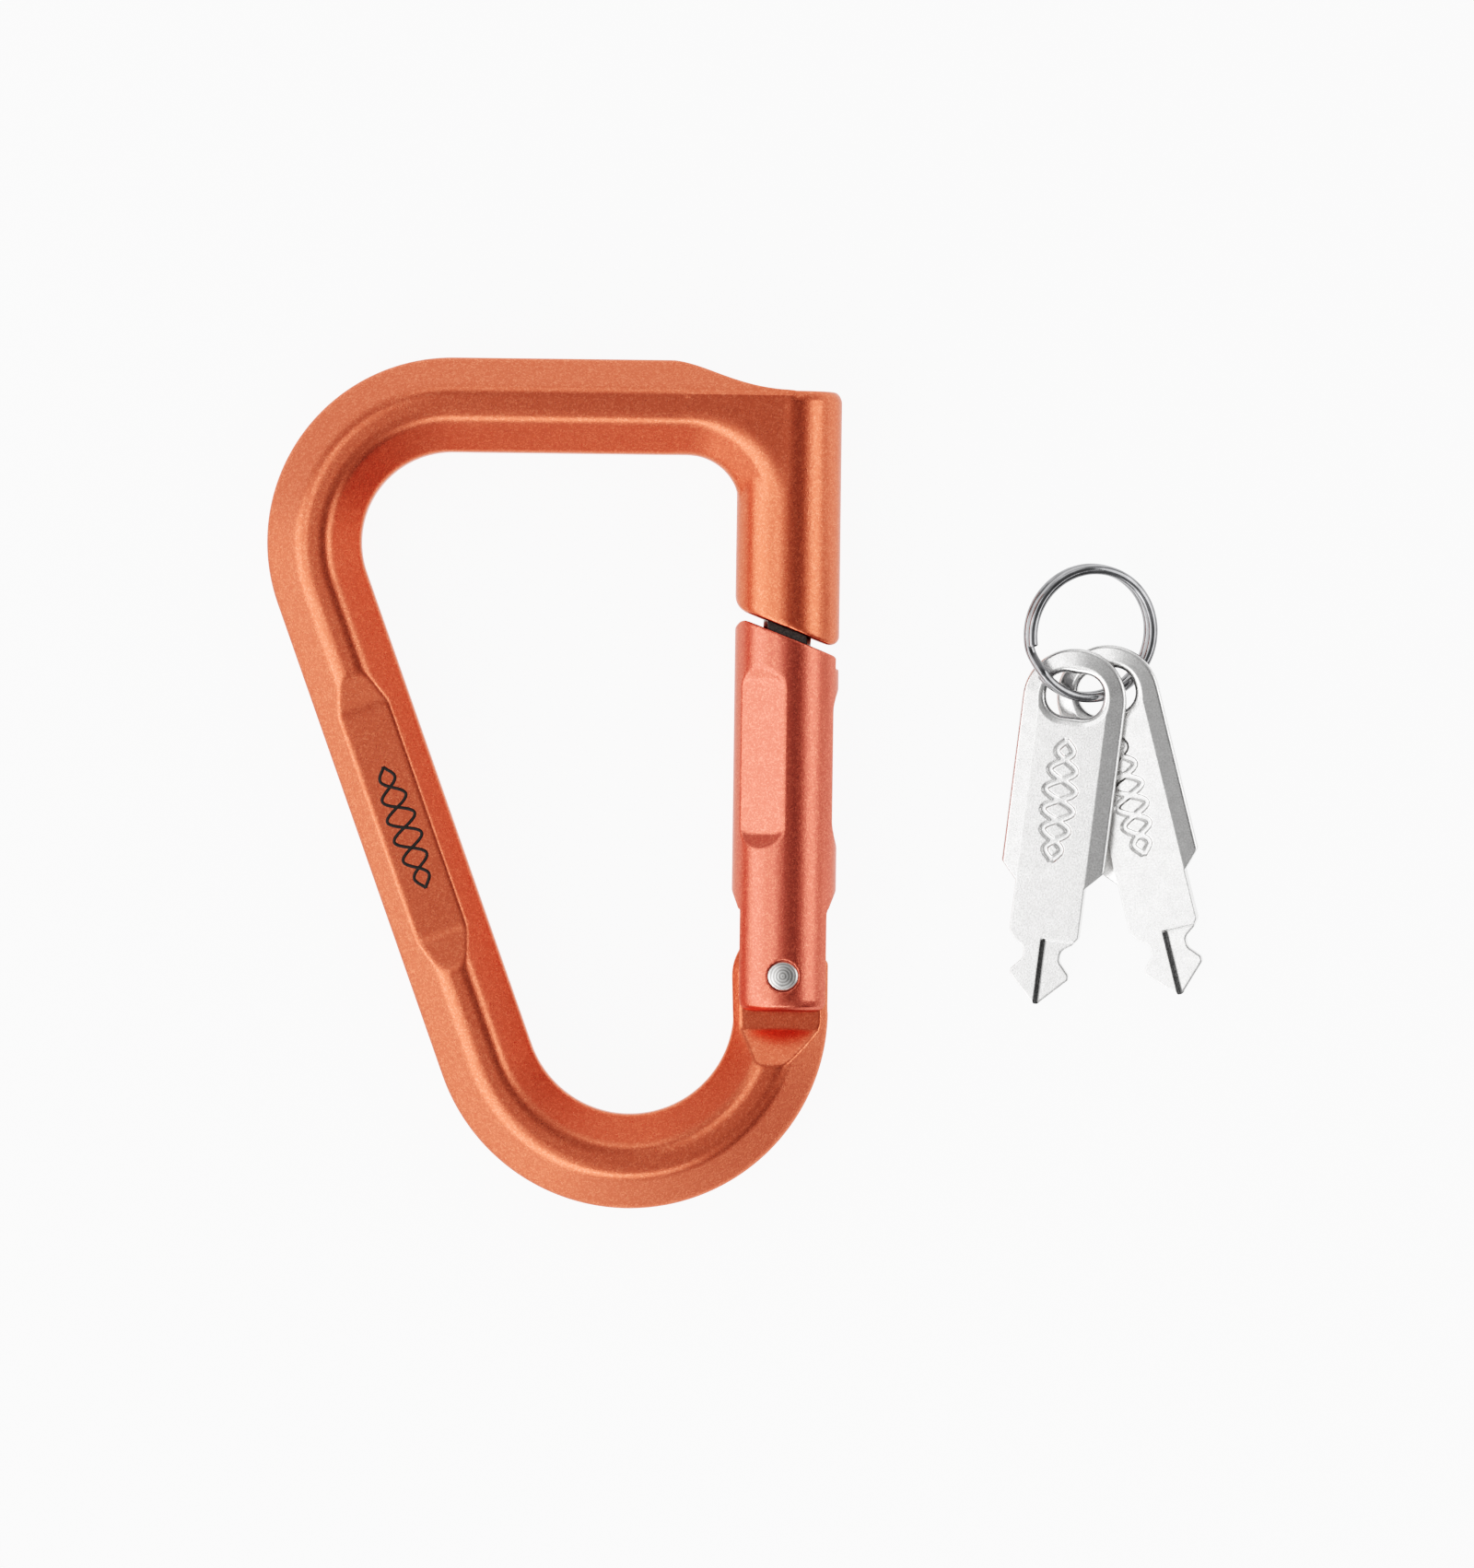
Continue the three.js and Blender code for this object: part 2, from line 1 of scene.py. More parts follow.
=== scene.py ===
"""The looks of a locking carabiner key holder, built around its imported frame.

Shapes are drawn in millimetres in a drawing plane whose origin is the gate's
pivot at mid thickness, and are moved to the frame's metres by place().
"""

import json
import math

import bmesh
import bpy
from mathutils import Matrix, Vector


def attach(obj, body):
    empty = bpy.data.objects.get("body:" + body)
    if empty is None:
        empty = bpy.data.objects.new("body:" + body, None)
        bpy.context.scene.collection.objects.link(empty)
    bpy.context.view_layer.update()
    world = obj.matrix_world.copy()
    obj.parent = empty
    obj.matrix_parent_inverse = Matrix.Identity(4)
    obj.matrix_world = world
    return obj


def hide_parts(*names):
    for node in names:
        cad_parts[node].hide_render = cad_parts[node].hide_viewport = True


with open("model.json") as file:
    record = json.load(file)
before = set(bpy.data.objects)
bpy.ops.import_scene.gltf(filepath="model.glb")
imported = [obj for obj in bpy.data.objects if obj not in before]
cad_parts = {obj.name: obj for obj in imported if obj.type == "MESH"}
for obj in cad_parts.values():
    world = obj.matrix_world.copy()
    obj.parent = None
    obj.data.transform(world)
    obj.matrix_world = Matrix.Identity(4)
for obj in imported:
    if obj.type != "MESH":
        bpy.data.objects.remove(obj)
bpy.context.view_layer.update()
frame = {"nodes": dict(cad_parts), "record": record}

MM = 0.001
JOINTS = {joint["name"]: joint for joint in frame["record"]["behaviour"]["joints"]}
PIVOT = Vector(JOINTS["gate_hinge"]["pos_m"])

# ------------------------------------------------------------- dimensions, mm

# Keeps skins that nearly coincide from meeting exactly.
HAIR = 0.02
# Grid spacing of each rebuilt skin.
FRAME_GRID = 0.15
GATE_GRID = 0.12
LOCK_GRID = 0.1
KEY_GRID = 0.085
SNAP_GRID = 0.08
# Reach of the plain cutting blocks, past the widest piece.
PAST = 9
SLAB_HALF = 8

# The bar: bends are (centre x, centre y, radius), pads run along the spine from its foot.
HALF = 6.0
BAR_HALF_WIDTH = 5.43
BEVEL = 3.9
BOTTOM_BEND = (-17.57, -4.18, 17.4)
TOP_BEND = (-38.73, 49.4, 15.84)
CORNER_BEND = (-11.81, 53.9, 11.36)
SPINE_NORMAL = 200.1
PAD = (11.2, 15.5, 42.8, 47.0)
PAD_DEPTH = 1.45

# The barrel: GROOVE is (radius, low, high).
BARREL_R = 6.0
BARREL_TOP = 67.3
SPLIT_SLOPE = -0.387
BARREL_FACE_Y = 39.96
GATE_FACE_Y = 38.97
BORE_R = 4.75
BORE_FLOOR = 49.5
NOSE_HOLE_R = 3.05
GROOVE = (5.15, 66.15, 67.0)

# The tang, whose cam rises from its base radius by so much a radian.
TANG_HALF = 3.0
TANG_LEFT = 5.84
TANG_RIGHT = 5.2
CAM_BASE = 4.9
CAM_RISE = 1.63

# The gate: SPRING_BORE is (radius, top), and a flat is (distance from the axis, low end at
# the skin, low end, high end, high end at the skin).
GATE_R = 6.0
GATE_END = -4.1
EAR_LEFT = 5.05
EAR_RIGHT = 4.95
FORK_HALF = 3.2
FORK_TOP = 7.6
SPRING_BORE = (2.35, 21.0)
OUTER_FLAT = (5.45, 15.0, 17.0, 31.3, 33.0)
FACE_FLAT = (5.25, 14.7, 16.2, 34.0, 35.4)
POCKET_FLOOR = 35.4
NOSE_HALF = 1.5
NOSE_SLOT_HALF = 1.75
RIVET_R = 1.75
RIVET_HOLE_R = 1.8

# The turning parts of the lock and the way for the key through them.
STACK_R = 4.55
KEYWAY_HALF = 1.25
TIP_PASS = 3.6

# The split ring, with angles in degrees: its wire's two ends, and the start and sweep of the
# step from one coil to the next.
RING_R = 7.45
RING_WIRE = 0.56
RING_PITCH = 1.24
RING_TILT = 21.6
RING_TOWARD = 69.1
RING_SPIN = 206.0
RING_ENDS = (16.0, 704.0)
RING_STEP = (347, 26)
WIRE_SQUARENESS = 2.6

# The keys, each placed by its tip's x, y, z and its heading, roll and pitch in degrees.
KEY_HALF = 0.85
KEY_PLACES = {
    "key_1": (29.28, -3.08, -4.48, -6.45, 8.87, 4.01),
    "key_2": (46.11, -1.74, -4.32, 14.54, 12.2, 2.04),
}


# ------------------------------------------------------------- outline helpers

def arc(cx, cy, r, start, end, steps):
    """Points on an arc, both ends included, angles in degrees."""
    turn = [math.radians(start + (end - start) * i / steps) for i in range(steps + 1)]
    return [(cx + r * math.cos(a), cy + r * math.sin(a)) for a in turn]


def smooth_step(t):
    """Eases a share from 0 to 1 at both ends."""
    return t * t * (3 - 2 * t)


def eased(points, radii, steps=5):
    """The closed outline with its corners rounded, each by its own radius."""
    count = len(points)
    result = []
    for i, radius in enumerate(radii):
        here = Vector(points[i])
        if radius <= 0:
            result.append(tuple(here))
            continue
        back = (Vector(points[i - 1]) - here).normalized()
        ahead = (Vector(points[(i + 1) % count]) - here).normalized()
        half = back.angle(ahead) / 2
        centre = here + (back + ahead).normalized() * (radius / math.sin(half))
        start = here + back * (radius / math.tan(half)) - centre
        end = here + ahead * (radius / math.tan(half)) - centre
        swing = start.angle_signed(end)
        for k in range(steps + 1):
            a = -swing * k / steps
            x = start.x * math.cos(a) - start.y * math.sin(a)
            y = start.x * math.sin(a) + start.y * math.cos(a)
            result.append((centre.x + x, centre.y + y))
    return result


def rounded_box(cx, cy, half_x, half_y, r):
    corners = [(half_x - r, half_y - r, 0), (r - half_x, half_y - r, 90),
               (r - half_x, r - half_y, 180), (half_x - r, r - half_y, 270)]
    points = []
    for x, y, start in corners:
        points += arc(cx + x, cy + y, r, start, start + 90, 8)
    return points


# ---------------------------------------------------------------- mesh helpers

def mesh_object(name, verts, faces):
    mesh = bpy.data.meshes.new(name)
    mesh.from_pydata([tuple(v) for v in verts], [], faces)
    mesh.update()
    piece = bpy.data.objects.new(name, mesh)
    bpy.context.collection.objects.link(piece)
    return piece


def outward(piece):
    """Turns the faces outward if the closed mesh has a negative volume."""
    work = bmesh.new()
    work.from_mesh(piece.data)
    if work.calc_volume(signed=True) < 0:
        bmesh.ops.reverse_faces(work, faces=work.faces)
    work.to_mesh(piece.data)
    work.free()
    return piece


def loft(name, rings):
    """A skin over rings of equal length, capped at both ends."""
    count = len(rings[0])
    verts = [v for ring in rings for v in ring]
    faces = []
    for k in range(len(rings) - 1):
        a, b = k * count, (k + 1) * count
        for i in range(count):
            j = (i + 1) % count
            faces.append((a + i, a + j, b + j, b + i))
    faces.append(tuple(reversed(range(count))))
    faces.append(tuple(range(len(verts) - count, len(verts))))
    return outward(mesh_object(name, verts, faces))


def slab(name, outline, low, high):
    return loft(name, [[(x, y, z) for x, y in outline] for z in (low, high)])


def block(name, x0, x1, y0, y1, z0, z1):
    return slab(name, [(x0, y0), (x1, y0), (x1, y1), (x0, y1)], z0, z1)


def turned(name, profile, sides):
    """A shape turned about Y from (radius, y) pairs that start and end on the axis."""
    rings = []
    inner = profile[1:-1]
    for k in range(sides):
        a = 2 * math.pi * k / sides
        rings.append([(r * math.cos(a), y, -r * math.sin(a)) for r, y in inner])
    verts = [v for ring in rings for v in ring]
    count = len(inner)
    faces = []
    for k in range(sides):
        a, b = k * count, ((k + 1) % sides) * count
        faces += [(a + i, a + i + 1, b + i + 1, b + i) for i in range(count - 1)]
    low, high = len(verts), len(verts) + 1
    verts += [(0, profile[0][1], 0), (0, profile[-1][1], 0)]
    for k in range(sides):
        a, b = k * count, ((k + 1) % sides) * count
        faces.append((low, a, b))
        faces.append((high, b + count - 1, a + count - 1))
    return outward(mesh_object(name, verts, faces))


def rod(name, r, low, high):
    return turned(name, [(0, low), (r, low), (r, high), (0, high)], 64)


def spin(piece, degrees, axis):
    piece.data.transform(Matrix.Rotation(math.radians(degrees), 4, axis))
    return piece


def bake(piece):
    """Replaces the mesh by what its modifiers make of it."""
    graph = bpy.context.evaluated_depsgraph_get()
    fresh = bpy.data.meshes.new_from_object(piece.evaluated_get(graph))
    piece.modifiers.clear()
    old = piece.data
    piece.data = fresh
    bpy.data.meshes.remove(old)


def combine(piece, operation, tools):
    for tool in tools:
        step = piece.modifiers.new(operation, "BOOLEAN")
        step.operation = operation
        step.solver = "MANIFOLD"
        step.object = tool
        bake(piece)
        bpy.data.objects.remove(tool)


def cut(piece, *tools):
    combine(piece, "DIFFERENCE", tools)


def join(piece, *tools):
    combine(piece, "UNION", tools)


def regrid(piece, voxel):
    """Rebuilds the skin on a fine, even grid."""
    grid = piece.modifiers.new("grid", "REMESH")
    grid.mode = "VOXEL"
    grid.voxel_size = voxel
    bake(piece)


def relax(piece, rounds, amount=None):
    """Eases edges by smoothing. amount gives a share from 0 to 1 for a point, or all move."""
    step = piece.modifiers.new("relax", "SMOOTH")
    step.factor = 0.5
    step.iterations = rounds
    if amount:
        group = piece.vertex_groups.new(name="eased")
        levels = {}
        for vertex in piece.data.vertices:
            share = round(min(max(amount(vertex.co), 0), 1) * 8)
            if share:
                levels.setdefault(share, []).append(vertex.index)
        for share, members in levels.items():
            group.add(members, share / 8, "REPLACE")
        step.vertex_group = group.name
    bake(piece)
    piece.vertex_groups.clear()


def soften(piece, voxel, rounds):
    regrid(piece, voxel)
    relax(piece, rounds)


def smooth_shaded(piece):
    piece.data.polygons.foreach_set("use_smooth", [True] * len(piece.data.polygons))
    piece.data.update()


def place(piece, body, material, *nodes, slot=None, pose=None):
    """Moves a finished piece from the drawing plane into the frame and ties it to its body."""
    to_frame = Matrix.Translation(PIVOT) @ Matrix.Scale(MM, 4)
    piece.data.transform(to_frame @ pose if pose else to_frame)
    piece.data.materials.clear()
    piece.data.materials.append(material)
    smooth_shaded(piece)
    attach(piece, body)
    if nodes:
        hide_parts(*nodes)


# ------------------------------------------------------------------- materials

class Finish:
    """A Principled material with helpers for fine surface detail."""

    def __init__(self, name):
        self.material = bpy.data.materials.new(name)
        self.material.use_nodes = True
        self.nodes = self.material.node_tree.nodes
        self.links = self.material.node_tree.links
        self.shader = self.nodes["Principled BSDF"]
        from_pivot = self.nodes.new("ShaderNodeMapping")
        from_pivot.inputs["Location"].default_value = -PIVOT
        coords = self.nodes.new("ShaderNodeTexCoord")
        self.links.new(coords.outputs["Object"], from_pivot.inputs["Vector"])
        self.coords = from_pivot.outputs["Vector"]
        self.normal = None

    def set(self, **values):
        for name, value in values.items():
            self.shader.inputs[name.replace("_", " ")].default_value = value

    def noise(self, scale, detail=2.0, roughness=0.5):
        node = self.nodes.new("ShaderNodeTexNoise")
        node.inputs["Scale"].default_value = scale
        node.inputs["Detail"].default_value = detail
        node.inputs["Roughness"].default_value = roughness
        self.links.new(self.coords, node.inputs["Vector"])
        return node.outputs["Fac"]

    def cells(self, scale):
        node = self.nodes.new("ShaderNodeTexVoronoi")
        node.inputs["Scale"].default_value = scale
        self.links.new(self.coords, node.inputs["Vector"])
        return node.outputs

    def spread(self, source, low, high, target, from_low=0.3, from_high=0.7):
        """Maps a 0 to 1 pattern to a range on one of the shader's sockets."""
        node = self.nodes.new("ShaderNodeMapRange")
        node.inputs["From Min"].default_value = from_low
        node.inputs["From Max"].default_value = from_high
        node.inputs["To Min"].default_value = low
        node.inputs["To Max"].default_value = high
        self.links.new(source, node.inputs["Value"])
        self.links.new(node.outputs["Result"], self.shader.inputs[target])

    def tint(self, source, dark, light, from_low=0.3, from_high=0.7):
        node = self.nodes.new("ShaderNodeValToRGB")
        node.color_ramp.elements[0].position = from_low
        node.color_ramp.elements[1].position = from_high
        node.color_ramp.elements[0].color = (*dark, 1)
        node.color_ramp.elements[1].color = (*light, 1)
        self.links.new(source, node.inputs["Fac"])
        self.links.new(node.outputs["Color"], self.shader.inputs["Base Color"])

    def bump(self, source, strength, distance):
        node = self.nodes.new("ShaderNodeBump")
        node.inputs["Strength"].default_value = strength
        node.inputs["Distance"].default_value = distance
        self.links.new(source, node.inputs["Height"])
        if self.normal:
            self.links.new(self.normal, node.inputs["Normal"])
        self.normal = node.outputs["Normal"]
        self.links.new(self.normal, self.shader.inputs["Normal"])


def anodised(name, dark, light):
    """Bead-blasted and dyed aluminium: shallow dimples, each catching light its own way."""
    finish = Finish(name)
    finish.set(Metallic=1.0, Coat_Weight=0.55, Coat_Roughness=0.3, Coat_IOR=1.5)
    finish.set(Specular_Tint=(0.8, 0.6, 0.55, 1))
    beads = finish.cells(7000)
    tone = finish.nodes.new("ShaderNodeSeparateColor")
    finish.links.new(beads["Color"], tone.inputs["Color"])
    finish.tint(tone.outputs["Red"], dark, light, 0.5, 1.0)
    finish.spread(tone.outputs["Green"], 0.27, 0.37, "Roughness", 0.0, 1.0)
    finish.bump(beads["Distance"], 0.5, 0.00002)
    finish.bump(finish.noise(9000), 0.3, 0.000012)
    return finish.material


def blasted_steel(name, dark, light, rough):
    finish = Finish(name)
    finish.set(Metallic=1.0)
    grain = finish.noise(5200, 3.0, 0.6)
    finish.tint(grain, dark, light)
    finish.spread(finish.noise(700), rough - 0.03, rough + 0.05, "Roughness")
    finish.bump(grain, 0.35, 0.00002)
    return finish.material


def plated(name, dark, light):
    finish = Finish(name)
    finish.set(Metallic=1.0)
    wear = finish.noise(600, 4.0, 0.6)
    finish.tint(wear, dark, light)
    finish.spread(wear, 0.06, 0.15, "Roughness")
    finish.bump(finish.noise(1500, 3.0), 0.1, 0.00002)
    return finish.material


def turned_metal(name, dark, light, axis):
    """Lathe marks: rings about the gate's pivot, or bands one after another along the gate."""
    finish = Finish(name)
    finish.set(Metallic=1.0)
    wave = finish.nodes.new("ShaderNodeTexWave")
    wave.wave_type = axis
    wave.rings_direction = "Z"
    wave.bands_direction = "Y"
    wave.inputs["Scale"].default_value = 900
    wave.inputs["Distortion"].default_value = 1.5
    wave.inputs["Detail"].default_value = 3
    finish.links.new(finish.coords, wave.inputs["Vector"])
    finish.tint(wave.outputs["Fac"], dark, light, 0.0, 1.0)
    finish.spread(finish.noise(1200), 0.24, 0.4, "Roughness")
    finish.bump(wave.outputs["Fac"], 0.3, 0.00002)
    return finish.material


ORANGE = anodised("orange_anodised", (0.62, 0.168, 0.096), (0.8, 0.255, 0.157))
ORANGE_GATE = anodised("orange_anodised_gate", (0.6, 0.16, 0.115), (0.78, 0.24, 0.17))
KEY_STEEL = blasted_steel("key_steel", (0.62, 0.615, 0.61), (0.82, 0.815, 0.81), 0.22)
# Near-black steel for the key's step wall: painted shade along the step, not the key's own colour.
KEY_WALL_PAINTED_SHADE = blasted_steel("key_wall_painted_shade", (0.05, 0.05, 0.05), (0.16, 0.16, 0.16), 0.35)
DARK_STEEL = blasted_steel("dark_steel", (0.13, 0.115, 0.11), (0.27, 0.25, 0.24), 0.16)
NICKEL = plated("nickel_plate", (0.26, 0.26, 0.265), (0.4, 0.4, 0.41))
RIVET_STEEL = turned_metal("turned_steel", (0.42, 0.41, 0.4), (0.75, 0.74, 0.73), "RINGS")
SPRING_STEEL = plated("spring_steel", (0.38, 0.39, 0.41), (0.58, 0.59, 0.61))
BRASS = turned_metal("brass", (0.55, 0.4, 0.16), (0.78, 0.6, 0.28), "BANDS")


def ink():
    finish = Finish("marking")
    finish.set(Metallic=0.0)
    speckle = finish.noise(4000, 3.0)
    finish.tint(speckle, (0.018, 0.02, 0.02), (0.05, 0.045, 0.04))
    finish.spread(speckle, 0.45, 0.7, "Roughness")
    finish.bump(speckle, 0.3, 0.00001)
    return finish.material


MARKING = ink()


# ------------------------------------------------------------------- carabiner

def bar_section():
    ridge = BAR_HALF_WIDTH - BEVEL
    wall = HALF - BEVEL
    corners = [
        (-ridge, HALF), (ridge, HALF), (BAR_HALF_WIDTH, wall), (BAR_HALF_WIDTH, -wall),
        (ridge, -HALF), (-ridge, -HALF), (-BAR_HALF_WIDTH, -wall), (-BAR_HALF_WIDTH, wall),
    ]
    radii = [2.3, 2.3, 0.9, 0.9, 2.3, 2.3, 0.9, 0.9]
    return eased(corners, radii, 7)


def toward_barrel(section, share):
    """The bar's section drawn part of the way to the barrel's round one."""
    centre = -(CORNER_BEND[0] + CORNER_BEND[2])
    result = []
    for u, z in section:
        angle = math.atan2(z, u)
        round_u = centre + (BARREL_R - HAIR) * math.cos(angle)
        round_z = (BARREL_R - HAIR) * math.sin(angle)
        result.append((u + (round_u - u) * share, z + (round_z - z) * share))
    return result


def bar():
    """Sweeps the section round the bends, from the hinge end to the barrel."""
    section = bar_section()
    rings = []
    bends = [(BOTTOM_BEND, 0, SPINE_NORMAL - 360), (TOP_BEND, SPINE_NORMAL, 90), (CORNER_BEND, 90, 0)]
    for bend, start, end in bends:
        steps = int(abs(end - start) / 2)
        for k in range(steps + 1):
            turn = math.radians(start + (end - start) * k / steps)
            share = smooth_step(k / steps) if bend is CORNER_BEND else 0
            across = Vector((math.cos(turn), math.sin(turn), 0))
            middle = Vector((bend[0], bend[1], 0)) + across * bend[2]
            rings.append([tuple(middle + across * u + Vector((0, 0, z)))
                          for u, z in toward_barrel(section, share)])
    return loft("bar", rings)


def top_and_gusset():
    """Carries the top bar's outer half on over the barrel and fills the corner under it."""
    cx, cy, r = CORNER_BEND
    ridge = BAR_HALF_WIDTH - BEVEL
    section = [(u, z) for u, z in bar_section() if u >= 0]
    outer = loft("top", [[(x, cy + r + u, z) for u, z in section] for x in (cx - 1, 0.5)])
    edge = []
    for k in range(25):
        turn = math.radians(90 - 90 * k / 24)
        reach = r - ridge + 0.35 + (ridge - cx - r) * smooth_step(k / 24)
        edge.append((cx + reach * math.cos(turn), cy + reach * math.sin(turn)))
    outline = edge + [(0.35, cy + r + ridge), (cx, cy + r + ridge)]
    return outer, slab("gusset", outline, -HALF + HAIR, HALF - HAIR)


def barrel():
    return turned("barrel", [
        (0, BARREL_FACE_Y - 5), (BARREL_R, BARREL_FACE_Y - 5),
        (BARREL_R, BARREL_TOP - 1.1), (BARREL_R - 0.25, BARREL_TOP - 0.5),
        (BARREL_R - 0.6, BARREL_TOP - 0.12), (BARREL_R - 1.1, BARREL_TOP), (0, BARREL_TOP),
    ], 128)


def tang():
    points = [(-TANG_RIGHT - 0.45, -5.5), (TANG_RIGHT, -5.5), (TANG_RIGHT, 1.5),
              (4.6, 2.4), (3.6, 3.5), (1.8, 4.5)]
    for degrees in range(90, 124, 3):
        r = CAM_BASE + CAM_RISE * math.radians(degrees - 90)
        points.append((r * math.cos(math.radians(degrees)), r * math.sin(math.radians(degrees))))
    points += arc(0, 0, TANG_LEFT, 135, 180, 8)
    inset = [(x * 0.84, y if y < -5 else y * 0.84) for x, y in points]
    levels = [(inset, -TANG_HALF), (points, -TANG_HALF + 0.9), (points, TANG_HALF - 0.9),
              (inset, TANG_HALF)]
    return loft("tang", [[(x, y, z) for x, y in outline] for outline, z in levels])


def top_step():
    """What lies above the S-shaped step from the top bar down to the barrel."""
    start, level = Vector((-14.5, 70.76)), BARREL_TOP + HAIR
    bends = [start, Vector((-9.8, 70.75)), Vector((-6.6, 67.35)), Vector((1.0, level))]
    curve = []
    for k in range(25):
        t = k / 24
        weights = ((1 - t) ** 3, 3 * t * (1 - t) ** 2, 3 * t * t * (1 - t), t ** 3)
        point = sum((w * b for w, b in zip(weights, bends)), Vector((0, 0)))
        curve.append((point.x, point.y))
    top = 74
    outline = [(start.x, top)] + curve + [(PAST, level), (PAST, top)]
    return slab("step", outline, -SLAB_HALF, SLAB_HALF)


def below_split():
    """The pivot's side of the slanted split, with an eased corner at each end."""
    left, right, clear = -6.03, 6.4, 5.4
    low = BARREL_FACE_Y - 25

    def at(x):
        return BARREL_FACE_Y + SPLIT_SLOPE * x

    corners = [(-PAST, low), (PAST, low), (PAST, at(right) + 2), (right, at(right) + 2),
               (clear, at(clear)), (left, at(left)), (left, at(left) + 4), (-PAST, at(left) + 4)]
    return slab("below", eased(corners, [0, 0, 0, 0, 1.0, 2.1, 0, 0], 8), -SLAB_HALF, SLAB_HALF)


def spine_basis(side):
    """Axes along the spine, out of one face and across, at the foot of the spine."""
    angle = math.radians(SPINE_NORMAL)
    out = Vector((math.cos(angle), math.sin(angle), 0))
    foot = Vector((BOTTOM_BEND[0], BOTTOM_BEND[1], 0)) + out * BOTTOM_BEND[2]
    along = Vector((out.y, -out.x, 0))
    up = Vector((0, 0, side))
    across = along.cross(up)
    return Matrix((
        (along.x, up.x, across.x, foot.x), (along.y, up.y, across.y, foot.y),
        (along.z, up.z, across.z, foot.z), (0, 0, 0, 1),
    ))


def pad_cut(side):
    start, flat_start, flat_end, end = PAD
    floor = HALF - PAD_DEPTH
    corners = [(start, HALF), (flat_start, floor), (flat_end, floor), (end, HALF),
               (end + 4, HALF + 0.6), (end + 4, HALF + 4), (start - 4, HALF + 4),
               (start - 4, HALF + 0.6)]
    outline = eased(corners, [4, 3.2, 3.2, 4, 0, 0, 0, 0], 8)
    piece = slab("pad", outline, -SLAB_HALF, SLAB_HALF)
    piece.data.transform(spine_basis(side))
    return piece


def tang_recess(side):
    corners = [(-13.5, HALF + 0.5), (-10.3, HALF), (-6.0, TANG_HALF), (12, TANG_HALF),
               (12, HALF + 3), (-13.5, HALF + 3)]
    outline = eased(corners, [0, 1.8, 1.4, 0, 0, 0], 6)
    piece = slab("recess", outline, -PAST, PAST)
    piece.data.transform(Matrix((
        (0, 0, 1, 0), (1, 0, 0, 0), (0, side, 0, 0), (0, 0, 0, 1),
    )))
    return outward(piece)


def near_split(p):
    """Full at the barrel's slanted face, fading out within 1.6 mm of it."""
    above = p.y - BARREL_FACE_Y - SPLIT_SLOPE * p.x
    return 2 - abs(above) / 0.8 if p.x > -7 else 0


def in_corner(p):
    """Strong where the bar runs into the barrel, fading out along the bar and down the barrel."""
    return min(p.x + 14, p.y - 49, 1) * 0.9 if p.y < BARREL_TOP - 3 else 0


def on_bar(p):
    """Full on the spine and the bottom bend, fading out toward the barrel and the hinge."""
    return max(-7 - p.x, -11 - p.y) / 4


def rivet_hole():
    return spin(rod("rivet_hole", RIVET_HOLE_R, -SLAB_HALF, SLAB_HALF), 90, "X")


def make_frame():
    body = bar()
    join(body, *top_and_gusset(), barrel())
    cut(body, top_step(), below_split(), tang_recess(1), tang_recess(-1))
    join(body, tang())
    cut(body, pad_cut(1), pad_cut(-1))
    cut(body, rod("bore", BORE_R, BORE_FLOOR, BARREL_TOP + 1),
        rod("nose_hole", NOSE_HOLE_R, 30, BORE_FLOOR + 1),
        rod("groove", *GROOVE), rivet_hole())
    body.name = "frame_forging"
    regrid(body, FRAME_GRID)
    relax(body, 30, near_split)
    relax(body, 60, in_corner)
    relax(body, 8, on_bar)
    relax(body, 9)
    place(body, "carabiner", ORANGE, "frame", slot="orange_anodised")


def ribbon(name, centre_line, half_width, low, high):
    """A flat strip of even width that follows a line in the plane."""
    rings = []
    for k, (x, y) in enumerate(centre_line):
        before = centre_line[max(k - 1, 0)]
        after = centre_line[min(k + 1, len(centre_line) - 1)]
        along = Vector((after[0] - before[0], after[1] - before[1])).normalized()
        side = Vector((-along.y, along.x)) * half_width
        rings.append([(x + side.x, y + side.y, low), (x + side.x, y + side.y, high),
                      (x - side.x, y - side.y, high), (x - side.x, y - side.y, low)])
    return loft(name, rings)


def twist_line(start, length, sway, waves, phase):
    """A sine line along X that tapers to a point at both ends."""
    steps = 72
    points = []
    for k in range(steps + 1):
        t = k / steps
        reach = math.sin(math.pi * t) ** 0.5
        points.append((start + length * t, sway * reach * math.sin(2 * math.pi * waves * t + phase)))
    return points


def make_spine_marking():
    """A plain two-strand twist on the pad."""
    floor = HALF - PAD_DEPTH
    for k, phase in enumerate((0, math.pi)):
        low = floor - 0.004 + 0.001 * k
        strand = ribbon("strand", twist_line(21.0, 14.8, 1.7, 3.0, phase), 0.18, low, low + 0.02)
        spin(strand, -90, "X")
        strand.data.transform(spine_basis(1))
        strand.name = f"spine_strand_{k + 1}"
        place(strand, "carabiner", MARKING, slot="orange_anodised")


# ------------------------------------------------------------------------ gate

def flat_cut(dims, degrees):
    """A milled flat with round corners and sloping ends, turned about the gate's axis."""
    distance, low_out, low, high, high_out = dims
    half_width = math.sqrt(GATE_R ** 2 - distance ** 2) + 0.15
    rings = []
    for k in range(5):
        rise = (GATE_R - distance) * k / 2
        start = low - (low - low_out) * k / 2
        end = high + (high_out - high) * k / 2
        outline = rounded_box(0, (start + end) / 2, half_width + rise, (end - start) / 2, 1.5 + rise)
        rings.append([(distance + rise, y, -x) for x, y in outline])
    return spin(loft("flat", rings), degrees, "Y")


